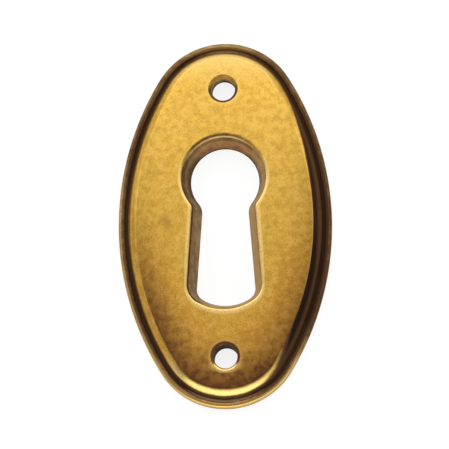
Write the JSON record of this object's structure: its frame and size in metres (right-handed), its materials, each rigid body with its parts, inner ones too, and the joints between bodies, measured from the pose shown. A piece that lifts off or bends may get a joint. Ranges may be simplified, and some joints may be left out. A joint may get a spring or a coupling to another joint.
{
  "type": "keyhole escutcheon",
  "caption": "Oval cast brass keyhole plate with a lipped and grooved rim, a domed field, a tapered keyhole and round-edged screw holes above and below it.",
  "frame": {"origin": "centre of the flat back, which lies on the surface", "axes": "+Z out of the front of the plate, +Y along the plate towards the round end of the keyhole, +X across it to the right as seen from the front"},
  "size_m": [0.026, 0.0456, 0.0029],
  "materials": {
    "antique_brass": "cast brass with a dark patina in the groove, the holes and the rim, rubbed back to bright metal on the field and the edges"
  },
  "bodies": {
    "root": {"escutcheon_plate": "antique_brass"}
  },
  "joints": []
}
